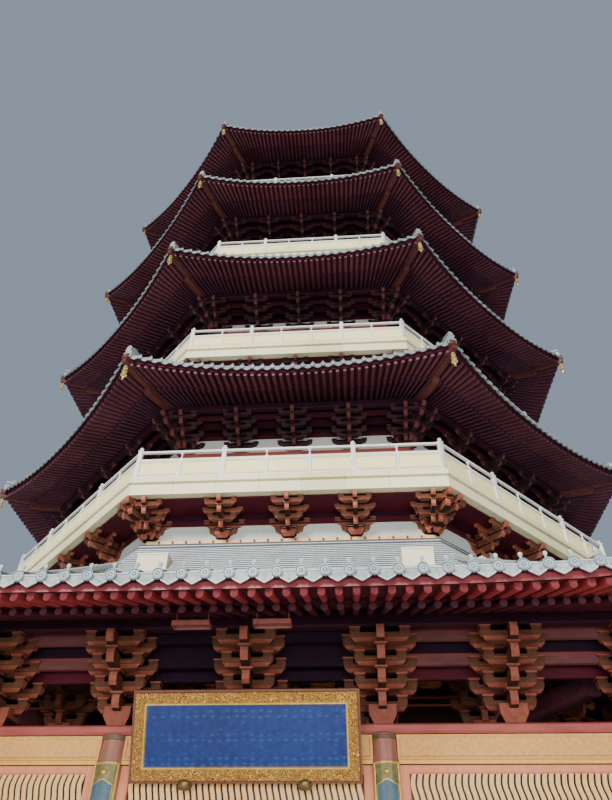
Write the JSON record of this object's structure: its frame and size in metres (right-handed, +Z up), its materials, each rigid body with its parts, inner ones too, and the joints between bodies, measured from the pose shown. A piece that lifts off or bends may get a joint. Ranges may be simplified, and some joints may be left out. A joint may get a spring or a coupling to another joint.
{
  "type": "pagoda (1:2 scale model)",
  "caption": "Octagonal pagoda with a wide skirt roof over a columned ground storey, balconied upper storeys with bracketed eaves, and a gilded spire.",
  "frame": {"origin": "centre of the plinth's underside, at ground level", "axes": "+Z up along the tower's axis; -Y towards the entrance; +X to the right as seen from the entrance"},
  "size_m": [20.0976, 20.0976, 30.95],
  "materials": {
    "grey_stone": "sawn granite",
    "pale_stone": "smooth cast stone, cream",
    "red_timber": "painted red-brown, weathered",
    "tan_timber": "painted bronze-tan, satin",
    "wall_panel": "painted panels",
    "roof_tile": "grey-green roof tile",
    "ridge_tile": "grey-green ridge tile",
    "board_lacquer": "blue lacquer in a gilt frame",
    "gilt": "gilded"
  },
  "bodies": {
    "root": {"core_wall": "wall_panel", "couplet_board_left": "gilt", "couplet_board_right": "gilt", "fifth_balcony_base": "red_timber", "fifth_eave_brackets": "red_timber", "fifth_floor": "pale_stone", "fifth_railing": "pale_stone", "fifth_roof": "roof_tile", "fifth_roof_ridges": "ridge_tile", "fifth_wall": "wall_panel", "fourth_balcony_base": "red_timber", "fourth_eave_brackets": "red_timber", "fourth_floor": "pale_stone", "fourth_railing": "pale_stone", "fourth_roof": "roof_tile", "fourth_roof_ridges": "ridge_tile", "fourth_wall": "wall_panel", "name_board": "board_lacquer", "porch_eave_brackets": "red_timber", "porch_roof": "roof_tile", "porch_roof_ridges": "ridge_tile", "porch_wall_back": "tan_timber", "porch_wall_back_left": "tan_timber", "porch_wall_back_right": "tan_timber", "porch_wall_front": "tan_timber", "porch_wall_front_left": "tan_timber", "porch_wall_front_right": "tan_timber", "porch_wall_left": "tan_timber", "porch_wall_right": "tan_timber", "second_balcony_base": "red_timber", "second_eave_brackets": "red_timber", "second_floor": "pale_stone", "second_railing": "pale_stone", "second_roof": "roof_tile", "second_roof_ridges": "ridge_tile", "second_wall": "wall_panel", "spire_mast": "gilt", "spire_seat": "gilt", "stone_plinth": "grey_stone", "third_balcony_base": "red_timber", "third_eave_brackets": "red_timber", "third_floor": "pale_stone", "third_railing": "pale_stone", "third_roof": "roof_tile", "third_roof_ridges": "ridge_tile", "third_wall": "wall_panel"}
  },
  "joints": []
}
